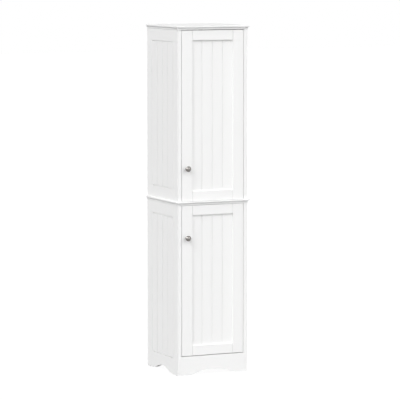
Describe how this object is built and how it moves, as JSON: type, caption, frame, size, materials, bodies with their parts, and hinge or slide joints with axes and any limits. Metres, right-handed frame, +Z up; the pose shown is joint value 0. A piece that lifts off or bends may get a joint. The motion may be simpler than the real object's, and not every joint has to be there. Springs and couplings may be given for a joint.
{
  "type": "tall bathroom cabinet",
  "caption": "Tall narrow white bathroom cabinet: an upper and a lower box, each behind a framed door with a planked panel and a round knob, under moulded boards, on arched feet.",
  "frame": {"origin": "on the floor, in the middle of the outline box, with the knobs counted in", "axes": "+Z up; the doors face -Y; +X is to the right for someone who faces the doors, on the hinged side"},
  "size_m": [0.349, 0.352, 1.524],
  "materials": {
    "white_paint": "satin white paint on fibreboard",
    "back_board": "thin fibreboard, white foil inside and bare brown outside",
    "knob_metal": "dark satin nickel",
    "steel": "nickel-plated",
    "zinc": "die-cast, dull",
    "beech": "plain beech",
    "glide_plastic": "matt",
    "catch_plastic": "matt",
    "magnet": "bare ferrite and steel"
  },
  "bodies": {
    "cabinet": {"back_panel_nails": "steel", "bottom_shelf": "white_paint", "bracket_screws": "steel", "cam_bolts": "zinc", "cam_locks": "zinc", "catch_magnets": "magnet", "catch_screws": "steel", "dowels": "beech", "foot_glides": "glide_plastic", "front_apron": "white_paint", "hinge_arm_screws": "steel", "hinge_plate_screws": "steel", "lower_back_panel": "back_board", "lower_bottom_hinge_arm": "steel", "lower_bottom_hinge_plate": "steel", "lower_catch": "catch_plastic", "lower_left_side": "white_paint", "lower_right_side": "white_paint", "lower_shelf_1": "white_paint", "lower_top_hinge_arm": "steel", "lower_top_hinge_plate": "steel", "mid_board": "white_paint", "shelf_pegs": "steel", "top_board": "white_paint", "upper_back_panel": "back_board", "upper_bottom_hinge_arm": "steel", "upper_bottom_hinge_plate": "steel", "upper_catch": "catch_plastic", "upper_left_side": "white_paint", "upper_right_side": "white_paint", "upper_shelf_1": "white_paint", "upper_shelf_2": "white_paint", "upper_top_hinge_arm": "steel", "upper_top_hinge_plate": "steel", "wall_brackets": "steel"},
    "upper_door": {"upper_door_bottom_hinge_cup": "steel", "upper_door_bottom_rail": "white_paint", "upper_door_cup_screws": "steel", "upper_door_hinge_pins": "steel", "upper_door_knob": "knob_metal", "upper_door_knob_screw": "steel", "upper_door_left_stile": "white_paint", "upper_door_panel": "white_paint", "upper_door_right_stile": "white_paint", "upper_door_strike": "steel", "upper_door_top_hinge_cup": "steel", "upper_door_top_rail": "white_paint"},
    "lower_door": {"lower_door_bottom_hinge_cup": "steel", "lower_door_bottom_rail": "white_paint", "lower_door_cup_screws": "steel", "lower_door_hinge_pins": "steel", "lower_door_knob": "knob_metal", "lower_door_knob_screw": "steel", "lower_door_left_stile": "white_paint", "lower_door_panel": "white_paint", "lower_door_right_stile": "white_paint", "lower_door_strike": "steel", "lower_door_top_hinge_cup": "steel", "lower_door_top_rail": "white_paint"}
  },
  "joints": [
    {"name": "upper_door_swing", "type": "hinge", "parent": "cabinet", "child": "upper_door", "pos_m": [0.1313, -0.1454, 1.136], "axis": [0, 0, 1], "range_deg": [0, 95]},
    {"name": "lower_door_swing", "type": "hinge", "parent": "cabinet", "child": "lower_door", "pos_m": [0.1313, -0.1454, 0.4165], "axis": [0, 0, 1], "range_deg": [0, 95]}
  ]
}
